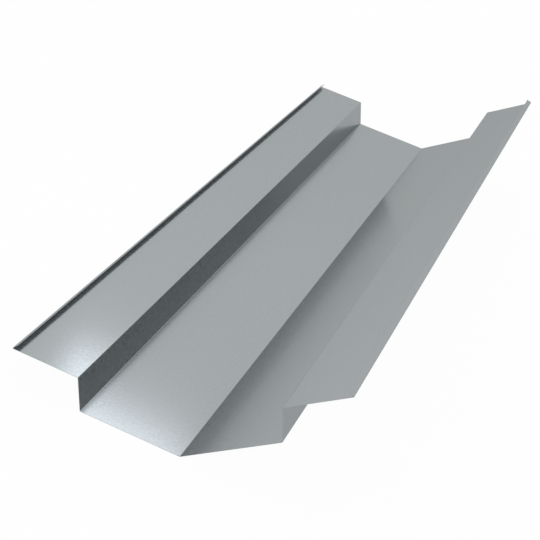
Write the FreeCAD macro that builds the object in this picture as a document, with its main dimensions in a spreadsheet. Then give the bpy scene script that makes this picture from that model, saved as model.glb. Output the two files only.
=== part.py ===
# Valley flashing: one length of galvanised sheet, folded on a press brake.
#
# Seen on its end, the sheet is a shallow V whose two panels meet in the valley line.
# Each panel ends in an upright wall, each wall in a flange that slopes as the panel does,
# and each flange in an open hem, turned up and back over it, that the fixing clips hook into.
#
# Y runs along the valley, Z is up and X across. The origin is on the valley line at
# mid-length, on the underside. A shallow V can't balance on its valley line, so the
# flashing lies as it comes to rest, with its left panel flat on the ground.

import FreeCAD, Part
import enum
import math
import os
import Sketcher

# Driving dimensions, in millimetres and degrees. Widths are measured on the underside,
# from fold line to fold line, as a sheet-metal worker marks them out. At the hem they are
# measured to the outside of its fold.
DIMENSIONS = [
    ("sheet_length", 1500.0, "along the valley"),
    ("sheet_thickness", 0.5, "galvanised sheet"),
    ("panel_width", 152.0, "valley line to foot of wall"),
    ("wall_height", 50.5, "foot of wall to crest"),
    ("flange_width", 100.0, "crest to outside of hem fold"),
    ("hem_width", 10.0, "outside of hem fold to free edge"),
    ("roof_slope", 17.5, "slope of panels and flanges, in degrees"),
    ("wall_angle", 90.0, "of the walls with the valley level, in degrees"),
    ("hem_turn", 133.0, "how far the hem is folded back, in degrees"),
    ("bend_radius", 0.8, "inside the valley, wall and crest bends"),
    ("hem_radius", 0.8, "inside the hem fold"),
]

doc = FreeCAD.newDocument("valley_flashing")
dims = doc.addObject("Spreadsheet::Sheet", "dims")
for row, (name, value, meaning) in enumerate(DIMENSIONS, start=1):
    dims.set(f"A{row}", name)
    dims.set(f"B{row}", str(value))
    dims.set(f"C{row}", meaning)
    dims.setAlias(f"B{row}", name)
doc.recompute()

# The fold lines of the flange and the hem meet this much beyond the outside of their fold.
BEYOND_FOLD = "(dims.hem_radius + dims.sheet_thickness) * (tan(dims.hem_turn / 2) - 1)"

# The section is named here as it runs outward from the valley line. A bend comes before
# each flat: the flat's width, its heading above the level, and the bend's inside radius.
FLATS = [
    ("panel", "dims.panel_width", "dims.roof_slope"),
    ("wall", "dims.wall_height", "dims.wall_angle"),
    ("flange", "dims.flange_width + " + BEYOND_FOLD, "dims.roof_slope"),
    ("hem", "dims.hem_width + " + BEYOND_FOLD, "dims.roof_slope + dims.hem_turn"),
]
BENDS = [
    ("valley", "dims.bend_radius"),
    ("root", "dims.bend_radius"),
    ("crest", "dims.bend_radius"),
    ("fold", "dims.hem_radius"),
]
CREST = [name for name, _ in BENDS].index("crest")


class Point(enum.IntEnum):
    """The points of a line or an arc that a constraint can hold, as a sketch numbers them."""
    START = enum.auto()
    END = enum.auto()
    CENTRE = enum.auto()


class Axis(enum.IntEnum):
    """The sketch's own axes, as it numbers them. The level axis starts at the origin."""
    LEVEL = -1
    UP = -2


START, END, CENTRE = Point


def unit(degrees):
    """Unit vector that points so many degrees above the section's level axis."""
    angle = math.radians(degrees)
    return FreeCAD.Vector(math.cos(angle), math.sin(angle), 0)


def datum_plane(body, role):
    """One of the body's own datum planes."""
    return next(item for item in body.Origin.OriginFeatures if item.Role == role)


class HalfSection:
    """Closed outline of the sheet's end, from the valley line out to the right hem.

    The fold lines are construction lines that carry the widths and the slopes. The underside
    and the weather side are chains of flats and arcs that run into each other, and the two
    arcs of a bend share their centre, which keeps the sheet one thickness throughout."""

    def __init__(self, body):
        self.sketch = body.newObject("Sketcher::SketchObject", "half_section")
        self.sketch.AttachmentSupport = [(datum_plane(body, "XZ_Plane"), "")]
        self.sketch.MapMode = "FlatFace"
        slope = dims.roof_slope
        self.headings = [slope, dims.wall_angle, slope, slope + dims.hem_turn]
        self.radii = [dims.bend_radius, dims.bend_radius, dims.bend_radius, dims.hem_radius]
        self.place_corners()
        self.draw_fold_lines()
        self.underside = self.draw_face(is_upper=False)
        self.weather_side = self.draw_face(is_upper=True)
        self.hold_underside()
        self.hold_weather_side()
        self.close_ends()

    def place_corners(self):
        """Fold lines seen on end, then the centres of the bends."""
        outer_radius = dims.hem_radius + dims.sheet_thickness
        beyond_fold = outer_radius * (math.tan(math.radians(dims.hem_turn) / 2) - 1)
        to_fold = dims.flange_width + beyond_fold
        to_edge = dims.hem_width + beyond_fold
        widths = [dims.panel_width, dims.wall_height, to_fold, to_edge]
        self.corners = [FreeCAD.Vector(0, 0, 0)]
        for width, degrees in zip(widths, self.headings):
            self.corners.append(self.corners[-1] + unit(degrees) * width)
        self.centres = []
        for bend in range(len(BENDS)):
            after = self.headings[bend]
            before = self.headings[bend - 1] if bend else -after
            side = -1 if bend == CREST else 1
            reach = self.radius(bend, is_upper=False) / math.cos(math.radians(after - before) / 2)
            self.centres.append(self.corners[bend] + unit((before + after) / 2 + 90 * side) * reach)

    def radius(self, bend, is_upper):
        """The crest bends down, so its inside is the underside; the others bend up."""
        is_inside = is_upper != (bend == CREST)
        return self.radii[bend] + (0 if is_inside else dims.sheet_thickness)

    def radius_formula(self, bend, is_upper):
        inside = BENDS[bend][1]
        is_inside = is_upper != (bend == CREST)
        return inside if is_inside else inside + " + dims.sheet_thickness"

    def constrain(self, *arguments):
        return self.sketch.addConstraint(Sketcher.Constraint(*arguments))

    def drive(self, name, formula, *arguments):
        """A dimension that the sheet of dimensions drives."""
        index = self.constrain(*arguments)
        self.sketch.renameConstraint(index, name)
        self.sketch.setExpression("Constraints." + name, formula)

    def draw_fold_lines(self):
        self.guides = []
        for flat, (name, width, slope) in enumerate(FLATS):
            start, end = self.corners[flat], self.corners[flat + 1]
            guide = self.sketch.addGeometry(Part.LineSegment(start, end), True)
            if flat:
                self.constrain("Coincident", self.guides[-1], END, guide, START)
            else:
                self.constrain("Coincident", guide, START, Axis.LEVEL, START)
            self.drive(name + "_width", width, "Distance", guide, (end - start).Length)
            self.drive(name + "_slope", slope, "Angle", guide, math.radians(self.headings[flat]))
            self.guides.append(guide)

    def touch(self, bend, degrees, is_upper):
        """Where the flat of that heading touches the bend's arc."""
        side = 1 if bend == CREST else -1
        return self.centres[bend] + unit(degrees + 90 * side) * self.radius(bend, is_upper)

    def draw_face(self, is_upper):
        """The arcs and flats of one face, joined end to end in their order outward."""
        arcs, flats = [], []
        lip = self.corners[-1]
        if is_upper:
            lip = lip + unit(self.headings[-1] + 90) * dims.sheet_thickness
        for bend in range(len(BENDS)):
            after = self.headings[bend]
            before = self.headings[bend - 1] if bend else 0
            circle = Part.Circle(self.centres[bend], FreeCAD.Vector(0, 0, 1), self.radius(bend, is_upper))
            if bend == CREST:
                first, last = after + 90, before + 90
            else:
                first, last = before - 90, after - 90
            arc = Part.ArcOfCircle(circle, math.radians(first), math.radians(last))
            arcs.append(self.sketch.addGeometry(arc, False))
            start = self.touch(bend, after, is_upper)
            end = self.touch(bend + 1, after, is_upper) if bend + 1 < len(BENDS) else lip
            flats.append(self.sketch.addGeometry(Part.LineSegment(start, end), False))
        for bend in range(len(BENDS)):
            near, far = (END, START) if bend == CREST else (START, END)
            if bend:
                self.constrain("Tangent", flats[bend - 1], END, arcs[bend], near)
            self.constrain("Tangent", arcs[bend], far, flats[bend], START)
        self.constrain("PointOnObject", arcs[0], START, Axis.UP)
        return arcs, flats

    def hold_underside(self):
        """The underside's flats lie on the fold lines and its arcs have their own radii."""
        arcs, flats = self.underside
        for flat in range(len(FLATS) - 1):
            self.constrain("Tangent", flats[flat], self.guides[flat])
        self.constrain("Parallel", flats[-1], self.guides[-1])
        self.constrain("Coincident", flats[-1], END, self.guides[-1], END)
        self.constrain("PointOnObject", arcs[0], CENTRE, Axis.UP)
        self.drive_radii(arcs, "under", is_upper=False)

    def hold_weather_side(self):
        """The weather side's arcs share the underside's centres."""
        arcs, flats = self.weather_side
        for arc, under in zip(arcs, self.underside[0]):
            self.constrain("Coincident", arc, CENTRE, under, CENTRE)
        self.constrain("Parallel", flats[-1], self.underside[1][-1])
        self.drive_radii(arcs, "weather", is_upper=True)

    def drive_radii(self, arcs, face, is_upper):
        for bend, (name, _) in enumerate(BENDS):
            formula = self.radius_formula(bend, is_upper)
            self.drive(f"{face}_{name}_radius", formula, "Radius", arcs[bend], self.radius(bend, is_upper))

    def close_ends(self):
        """The cut through the valley line, and the hem's square free edge."""
        under_arcs, under_flats = self.underside
        arcs, flats = self.weather_side
        self.join(arcs[0], START, under_arcs[0], START)
        free_edge = self.join(flats[-1], END, under_flats[-1], END)
        self.constrain("Perpendicular", free_edge, under_flats[-1])

    def join(self, first, first_end, second, second_end):
        start = self.sketch.getPoint(first, first_end)
        end = self.sketch.getPoint(second, second_end)
        line = self.sketch.addGeometry(Part.LineSegment(start, end), False)
        self.constrain("Coincident", line, START, first, first_end)
        self.constrain("Coincident", line, END, second, second_end)
        return line


def make_valley_sheet():
    """The half section drawn out to the sheet's length, then mirrored over the valley line."""
    body = doc.addObject("PartDesign::Body", "valley_sheet")
    body.Label = "valley_sheet"
    section = HalfSection(body)
    doc.recompute()

    right_half = body.newObject("PartDesign::Pad", "right_half")
    right_half.Profile = section.sketch
    right_half.SideType = "Symmetric"
    right_half.Length = dims.sheet_length
    right_half.setExpression("Length", "dims.sheet_length")
    body.Tip = right_half
    doc.recompute()

    both_halves = body.newObject("PartDesign::Mirrored", "both_halves")
    both_halves.Originals = [right_half]
    both_halves.MirrorPlane = (datum_plane(body, "YZ_Plane"), [""])
    body.Tip = both_halves
    return body, section.sketch


valley_sheet, half_section = make_valley_sheet()

# The rest pose turns the whole sheet about the valley line until the left panel lies level.
at_origin = FreeCAD.Vector(0, 0, 0)
about_valley = FreeCAD.Vector(0, -1, 0)
valley_sheet.Placement = FreeCAD.Placement(at_origin, FreeCAD.Rotation(about_valley, dims.roof_slope))
valley_sheet.setExpression("Placement.Rotation.Angle", "dims.roof_slope")
doc.recompute()

# The document must be sound before anything is written.
problems = []
for item in doc.Objects:
    if "Invalid" in item.State or "Error" in item.State:
        problems.append(f"{item.Name}: {item.State}")
if not half_section.FullyConstrained:
    problems.append("half_section isn't fully constrained")
shape = valley_sheet.Shape
if shape.isNull() or not shape.isValid() or len(shape.Solids) != 1:
    problems.append("valley_sheet isn't one valid solid")
if problems:
    raise RuntimeError("; ".join(problems))

os.makedirs("parts", exist_ok=True)
shape.exportStep(f"parts/{valley_sheet.Label}.step")
box = shape.BoundBox
print(f"{valley_sheet.Label}: {box.XLength:.2f} x {box.YLength:.2f} x {box.ZLength:.2f} mm")
flat_width = shape.Volume / (dims.sheet_thickness * dims.sheet_length)
print(f"lowest {box.ZMin:.3f} mm, sheet {shape.Volume / 1000:.1f} cm3, faces {len(shape.Faces)}")
print(f"flat sheet before folding: {flat_width:.1f} mm wide")
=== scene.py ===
# Valley flashing: one length of galvanised sheet steel, folded for a roof valley.
# Lengths are in metres and angles in degrees, unless a name says otherwise.

import math

import bmesh
import bpy
from mathutils import Matrix, Quaternion, Vector


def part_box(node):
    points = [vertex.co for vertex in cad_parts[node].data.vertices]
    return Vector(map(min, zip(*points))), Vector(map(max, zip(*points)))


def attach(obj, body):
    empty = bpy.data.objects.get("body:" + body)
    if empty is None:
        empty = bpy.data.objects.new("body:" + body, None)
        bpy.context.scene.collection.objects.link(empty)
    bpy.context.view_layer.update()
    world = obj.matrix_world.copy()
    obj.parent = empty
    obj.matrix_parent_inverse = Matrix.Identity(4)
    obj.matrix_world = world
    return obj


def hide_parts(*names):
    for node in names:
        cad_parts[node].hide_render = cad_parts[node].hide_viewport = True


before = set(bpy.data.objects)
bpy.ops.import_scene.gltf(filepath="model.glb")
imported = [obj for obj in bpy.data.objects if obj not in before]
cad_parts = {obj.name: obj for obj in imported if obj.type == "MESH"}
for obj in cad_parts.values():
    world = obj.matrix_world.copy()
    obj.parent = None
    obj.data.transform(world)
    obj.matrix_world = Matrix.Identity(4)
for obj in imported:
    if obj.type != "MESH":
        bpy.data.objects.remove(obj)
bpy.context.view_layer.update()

# The folded section, with its widths taken along the underside from fold to fold.
MM = 0.001
THICKNESS = 0.5 * MM
PANEL_WIDTH = 152.0 * MM
WALL_HEIGHT = 50.5 * MM
FLANGE_WIDTH = 100.0 * MM
HEM_WIDTH = 10.0 * MM
ROOF_SLOPE = 17.5
WALL_ANGLE = 90.0
HEM_TURN = 133.0
BEND_RADIUS = 0.8 * MM
HEM_RADIUS = 0.8 * MM

# How finely it is drawn.
DEGREES_PER_FACET = 8.0
FEWEST_FACETS = 3
EDGE_STRIP = 0.3 * MM
MERGE_DISTANCE = 0.001 * MM
SHARP_EDGE = 30.0

sheet_low, sheet_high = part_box("valley_sheet")
SHEET_LENGTH = sheet_high.y - sheet_low.y


# The sheet

def section_direction(degrees):
    """Unit vector in the plane of the sheet's end, so many degrees above the X axis."""
    angle = math.radians(degrees)
    return Vector((math.cos(angle), 0, math.sin(angle)))


class FoldedEnd:
    """The sheet's end, drawn the way a press brake folds it.

    It starts as a short edge across the sheet's thickness. The edge is pushed along each
    flat and swung round each bend, and leaves the cut end of the sheet behind it as a strip."""

    def __init__(self, mesh, underside, heading, near_end):
        self.mesh = mesh
        self.heading = heading
        low = underside + Vector((0, near_end, 0))
        self.low = mesh.verts.new(low)
        self.high = mesh.verts.new(low + section_direction(heading + 90) * THICKNESS)
        self.edge = mesh.edges.new((self.low, self.high))

    def take(self, geometry):
        """Makes the far side of what was just drawn the edge to go on from."""
        self.edge = next(item for item in geometry if isinstance(item, bmesh.types.BMEdge))
        along = section_direction(self.heading + 90)
        self.low, self.high = sorted(self.edge.verts, key=lambda vertex: vertex.co.dot(along))

    def push(self, distance):
        """Draws the edge straight on."""
        moved = bmesh.ops.extrude_edge_only(self.mesh, edges=[self.edge])["geom"]
        corners = [item for item in moved if isinstance(item, bmesh.types.BMVert)]
        bmesh.ops.translate(self.mesh, verts=corners, vec=section_direction(self.heading) * distance)
        far_edge = [item for item in moved
                    if isinstance(item, bmesh.types.BMEdge) and set(item.verts) == set(corners)]
        self.take(far_edge)

    def flat(self, width):
        """A flat, with a narrow strip at either side that keeps its shading flat."""
        self.push(EDGE_STRIP)
        self.push(width - 2 * EDGE_STRIP)
        self.push(EDGE_STRIP)

    def bend(self, turn, inside_radius):
        """A bend to the weather side where turn is positive, and to the underside where it isn't."""
        if turn > 0:
            centre = self.high.co + section_direction(self.heading + 90) * inside_radius
        else:
            centre = self.low.co + section_direction(self.heading - 90) * inside_radius
        facets = max(FEWEST_FACETS, math.ceil(abs(turn) / DEGREES_PER_FACET))
        swung = bmesh.ops.spin(
            self.mesh,
            geom=[self.edge, self.low, self.high],
            cent=centre,
            axis=(0, -1, 0),
            dvec=(0, 0, 0),
            angle=math.radians(turn),
            steps=facets,
        )
        self.heading += turn
        self.take(swung["geom_last"])


def underside_setback(turn, inside_radius):
    """How far a bend's arc reaches from its fold line along the underside."""
    radius = inside_radius + THICKNESS if turn > 0 else inside_radius
    return radius * math.tan(math.radians(abs(turn)) / 2)


def fold_whole_section(mesh):
    """The section from the left hem's free edge to the right hem's, with the valley level."""
    wall_turn = WALL_ANGLE - ROOF_SLOPE
    bends = [
        (HEM_TURN, HEM_RADIUS),
        (-wall_turn, BEND_RADIUS),
        (wall_turn, BEND_RADIUS),
        (2 * ROOF_SLOPE, BEND_RADIUS),
        (wall_turn, BEND_RADIUS),
        (-wall_turn, BEND_RADIUS),
        (HEM_TURN, HEM_RADIUS),
    ]
    # The corner where a hem and its flange would meet lies beyond the bend that their widths end at.
    beyond = (HEM_RADIUS + THICKNESS) * (math.tan(math.radians(HEM_TURN) / 2) - 1)
    half = [HEM_WIDTH + beyond, FLANGE_WIDTH + beyond, WALL_HEIGHT, PANEL_WIDTH]
    widths = half + half[::-1]
    setbacks = [0.0] + [underside_setback(*bend) for bend in bends] + [0.0]

    headings = [-ROOF_SLOPE - HEM_TURN, -ROOF_SLOPE, -WALL_ANGLE, -ROOF_SLOPE]
    free_edge = Vector((0, 0, 0))
    for width, heading in zip(half, headings):
        free_edge -= section_direction(heading) * width
    end = FoldedEnd(mesh, free_edge, headings[0], -SHEET_LENGTH / 2)
    for place, width in enumerate(widths):
        end.flat(width - setbacks[place] - setbacks[place + 1])
        if place < len(bends):
            end.bend(*bends[place])


def make_valley_sheet():
    """The folded end drawn out to the sheet's length, and laid on its left panel."""
    mesh = bmesh.new()
    fold_whole_section(mesh)
    drawn = bmesh.ops.extrude_face_region(mesh, geom=mesh.faces[:], use_keep_orig=True)
    far_end = [item for item in drawn["geom"] if isinstance(item, bmesh.types.BMVert)]
    bmesh.ops.translate(mesh, verts=far_end, vec=(0, SHEET_LENGTH, 0))
    bmesh.ops.remove_doubles(mesh, verts=mesh.verts[:], dist=MERGE_DISTANCE)
    bmesh.ops.recalc_face_normals(mesh, faces=mesh.faces[:])
    rest_turn = Matrix.Rotation(math.radians(-ROOF_SLOPE), 3, "Y")
    bmesh.ops.rotate(mesh, cent=(0, 0, 0), matrix=rest_turn, verts=mesh.verts[:])
    for face in mesh.faces:
        face.smooth = True
    for edge in mesh.edges:
        edge.smooth = len(edge.link_faces) == 2 and edge.calc_face_angle() < math.radians(SHARP_EDGE)
    data = bpy.data.meshes.new("folded_sheet")
    mesh.to_mesh(data)
    mesh.free()
    sheet = bpy.data.objects.new("folded_sheet", data)
    bpy.context.scene.collection.objects.link(sheet)
    return sheet


# Shader maths

class Nodes:
    """A material's or world's nodes, made by type with their settings and inputs."""

    def __init__(self, tree):
        self.tree = tree
        tree.nodes.clear()

    def add(self, kind, settings=None, output=0, *in_order, **by_name):
        """A node: its settings first, then its sockets in order or by name, spaces as underscores."""
        node = self.tree.nodes.new(kind)
        for name, value in (settings or {}).items():
            setattr(node, name, value)
        for socket, value in zip(node.inputs, in_order):
            self.put(socket, value)
        for name, value in by_name.items():
            self.put(node.inputs[name.replace("_", " ")], value)
        return Value(self, node.outputs[output]) if node.outputs else node

    def maths(self, operation, *values):
        return self.add("ShaderNodeMath", {"operation": operation}, 0, *values)

    def put(self, socket, value):
        if isinstance(value, Value):
            self.tree.links.new(value.socket, socket)
        else:
            socket.default_value = value


class Value:
    """A socket that can be used in Python sums."""

    def __init__(self, nodes, socket):
        self.nodes = nodes
        self.socket = socket

    def __add__(self, other):
        return self.nodes.maths("ADD", self, other)

    def __radd__(self, other):
        return self.nodes.maths("ADD", other, self)

    def __sub__(self, other):
        return self.nodes.maths("SUBTRACT", self, other)

    def __rsub__(self, other):
        return self.nodes.maths("SUBTRACT", other, self)

    def __mul__(self, other):
        return self.nodes.maths("MULTIPLY", self, other)

    def __rmul__(self, other):
        return self.nodes.maths("MULTIPLY", other, self)


# Materials

ZINC_COLOUR = (0.352, 0.374, 0.382, 1.0)
ZINC_MATT_COLOUR = (0.457, 0.485, 0.495, 1.0)
ZINC_ROUGHNESS = 0.195
ZINC_MATT_SHARE = 0.09
GRAIN_PER_METRE = 200.0
GRAIN_DETAIL = 2.0
GRAIN_FINE_SHARE = 0.6
GRAIN_MEAN = 0.5
GRAIN_CONTRAST = 0.38
GRAIN_RELIEF = 0.045 * MM
FLOOR_GLOW = 0.97
FLOOR_GLOW_IN_METAL = 0.65
WHITE = (1.0, 1.0, 1.0, 1.0)
MATT_WHITE = (0.75, 0.75, 0.75, 1.0)


def zinc_material():
    """Mill-finish zinc: a satin mirror, whose faint relief and matt share follow its grain."""
    material = bpy.data.materials.new("galvanised_sheet")
    material.use_nodes = True
    nodes = Nodes(material.node_tree)
    place = nodes.add("ShaderNodeTexCoord", output="Object")
    grain = nodes.add(
        "ShaderNodeTexNoise",
        Vector=place,
        Scale=GRAIN_PER_METRE,
        Detail=GRAIN_DETAIL,
        Roughness=GRAIN_FINE_SHARE,
    )
    matt_share = ZINC_MATT_SHARE + (grain - GRAIN_MEAN) * GRAIN_CONTRAST
    relief = nodes.add("ShaderNodeBump", Strength=1.0, Distance=GRAIN_RELIEF, Height=grain)
    mirror = nodes.add(
        "ShaderNodeBsdfAnisotropic",
        {"distribution": "MULTI_GGX"},
        Color=ZINC_COLOUR,
        Roughness=ZINC_ROUGHNESS,
        Normal=relief,
    )
    matt = nodes.add("ShaderNodeBsdfDiffuse", Color=ZINC_MATT_COLOUR)
    shader = nodes.add("ShaderNodeMixShader", {}, 0, matt_share, mirror, matt)
    nodes.add("ShaderNodeOutputMaterial", Surface=shader)
    return material


def floor_material():
    """A white floor that shows as the backdrop and keeps a faint shadow."""
    material = bpy.data.materials.new("studio_floor")
    material.use_nodes = True
    nodes = Nodes(material.node_tree)
    seen = nodes.add("ShaderNodeLightPath", output="Is Camera Ray")
    mirrored = nodes.add("ShaderNodeLightPath", output="Is Glossy Ray")
    through_glass = nodes.add("ShaderNodeLightPath", output="Is Transmission Ray")
    share = seen * FLOOR_GLOW + (mirrored + through_glass) * FLOOR_GLOW_IN_METAL
    matt = nodes.add("ShaderNodeBsdfDiffuse", Color=MATT_WHITE)
    glow = nodes.add("ShaderNodeEmission", Color=WHITE, Strength=1.0)
    blend = nodes.add("ShaderNodeMixShader", {}, 0, share, matt, glow)
    nodes.add("ShaderNodeOutputMaterial", Surface=blend)
    return material


# Studio

FLOOR_DROP = 0.3 * MM
FLOOR_SIZE = 40.0

# The sky rises from the horizon's level to the low sky's, and from that to full white.
HORIZON_LEVEL = 0.667
HORIZON_TOP = 4.8
LOW_SKY_LEVEL = 0.945
LOW_SKY_TOP = 20.5
HIGH_SKY_START = 24.5
SKY_FALL_TO_RIGHT = 0.16


def make_floor():
    mesh = bmesh.new()
    bmesh.ops.create_grid(mesh, x_segments=1, y_segments=1, size=FLOOR_SIZE / 2)
    bmesh.ops.translate(mesh, verts=mesh.verts[:], vec=(0, 0, -FLOOR_DROP))
    data = bpy.data.meshes.new("studio_floor")
    mesh.to_mesh(data)
    mesh.free()
    floor = bpy.data.objects.new("studio_floor", data)
    bpy.context.scene.collection.objects.link(floor)
    floor.data.materials.append(floor_material())


def sky_rise(nodes, height, low_elevation, high_elevation, level):
    """The given level below the lower elevation, which rises to 1 at the higher one."""
    return nodes.add(
        "ShaderNodeMapRange",
        Value=height,
        From_Min=math.sin(math.radians(low_elevation)),
        From_Max=math.sin(math.radians(high_elevation)),
        To_Min=level,
        To_Max=1.0,
    )


def make_world():
    """White where the camera sees it, and in the metal duller near the horizon and to the right."""
    world = bpy.data.worlds.new("studio_world")
    bpy.context.scene.world = world
    world.use_nodes = True
    nodes = Nodes(world.node_tree)
    direction = nodes.add("ShaderNodeTexCoord", output="Generated")
    across = nodes.add("ShaderNodeSeparateXYZ", {}, "X", direction)
    height = nodes.add("ShaderNodeSeparateXYZ", {}, "Z", direction)
    horizon = sky_rise(nodes, height, 0.0, HORIZON_TOP, HORIZON_LEVEL)
    low_sky = sky_rise(nodes, height, LOW_SKY_TOP, HIGH_SKY_START, LOW_SKY_LEVEL)
    light = horizon * low_sky * (1.0 - across * SKY_FALL_TO_RIGHT)
    seen = nodes.add("ShaderNodeLightPath", output="Is Camera Ray")
    strength = light * (1.0 - seen) + seen
    sky = nodes.add("ShaderNodeBackground", Color=WHITE, Strength=strength)
    nodes.add("ShaderNodeOutputWorld", Surface=sky)


# The softbox hangs over the sheet and shows in the near end of the left flange and panel.
SOFTBOX_PLACE = Vector((-0.2755, -0.093, 0.5315))
SOFTBOX_AIM = Vector((-0.0945, -0.7225, 0.072))
SOFTBOX_ROLL = -14.0
SOFTBOX_WIDTH = 0.281
SOFTBOX_HEIGHT = 0.154
SOFTBOX_POWER = 0.277
SOFTBOX_COLOUR = (0.88, 0.93, 1.0)


def make_softbox():
    light = bpy.data.lights.new("softbox", "AREA")
    light.shape = "RECTANGLE"
    light.size = SOFTBOX_WIDTH
    light.size_y = SOFTBOX_HEIGHT
    light.energy = SOFTBOX_POWER
    light.color = SOFTBOX_COLOUR
    softbox = bpy.data.objects.new("softbox", light)
    facing = (SOFTBOX_AIM - SOFTBOX_PLACE).to_track_quat("-Z", "Y")
    roll = Quaternion((0, 0, 1), math.radians(SOFTBOX_ROLL))
    softbox.visible_camera = False
    softbox.location = SOFTBOX_PLACE
    softbox.rotation_euler = (facing @ roll).to_euler()
    bpy.context.scene.collection.objects.link(softbox)


# The camera stands where the photograph's edges and corners put it.
CAMERA_PLACE = Vector((0.3290, -2.3065, 1.0857))
CAMERA_TURN = (62.7405, -16.4242, 18.9259)
CAMERA_LENS_MM = 94.542
SENSOR_MM = 36.0


def make_camera():
    data = bpy.data.cameras.new("camera")
    data.lens = CAMERA_LENS_MM
    data.sensor_width = SENSOR_MM
    camera = bpy.data.objects.new("camera", data)
    camera.location = CAMERA_PLACE
    camera.rotation_euler = [math.radians(turn) for turn in CAMERA_TURN]
    bpy.context.scene.collection.objects.link(camera)
    bpy.context.scene.camera = camera


folded_sheet = make_valley_sheet()
folded_sheet.data.materials.append(zinc_material())
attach(folded_sheet, "root")
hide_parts("valley_sheet")

make_floor()
make_world()
make_camera()
make_softbox()

bpy.context.scene.view_settings.view_transform = "Standard"
